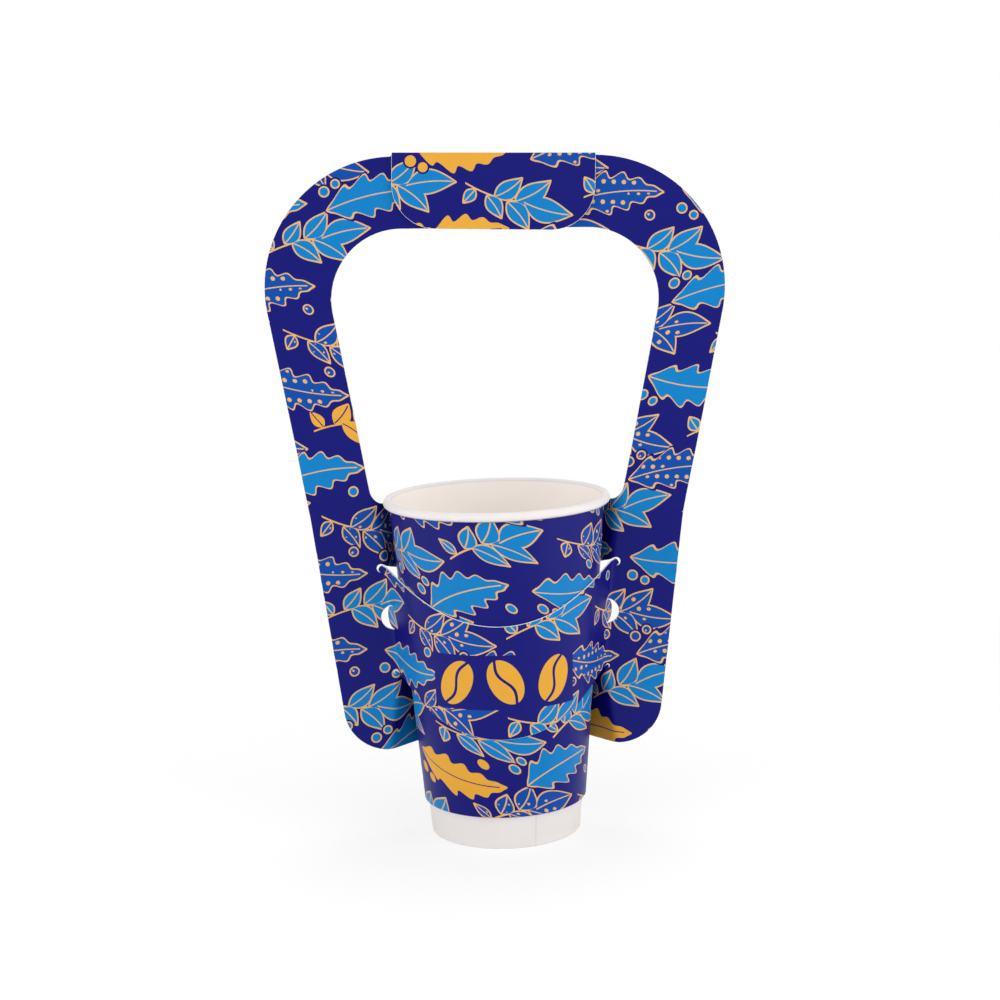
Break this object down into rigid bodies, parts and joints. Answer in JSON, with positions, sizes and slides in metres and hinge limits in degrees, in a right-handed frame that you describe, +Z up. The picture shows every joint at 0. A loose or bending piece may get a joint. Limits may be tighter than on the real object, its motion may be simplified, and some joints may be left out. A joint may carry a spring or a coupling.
{
  "type": "cardboard cup carrier",
  "caption": "Die-cut paperboard carrier with a loop handle, folded round a double-wall paper cup that stands in its slit strips.",
  "frame": {"origin": "centre of the cup's foot, on the surface that it stands on", "axes": "+Z up along the cup's axis, the front band of the carrier faces -Y, the handle and the wings lie in the XZ plane"},
  "size_m": [0.1794, 0.09, 0.269],
  "materials": {
    "printed_board": "paperboard printed on both sides under a satin varnish, with white cut edges",
    "printed_wrap": "printed cup paper under a satin varnish",
    "cup_board": "white coated cup board"
  },
  "bodies": {
    "root": {"carrier": "printed_board", "cup_wrap": "printed_wrap", "cup_wall": "cup_board", "cup_bottom": "cup_board"}
  },
  "joints": []
}
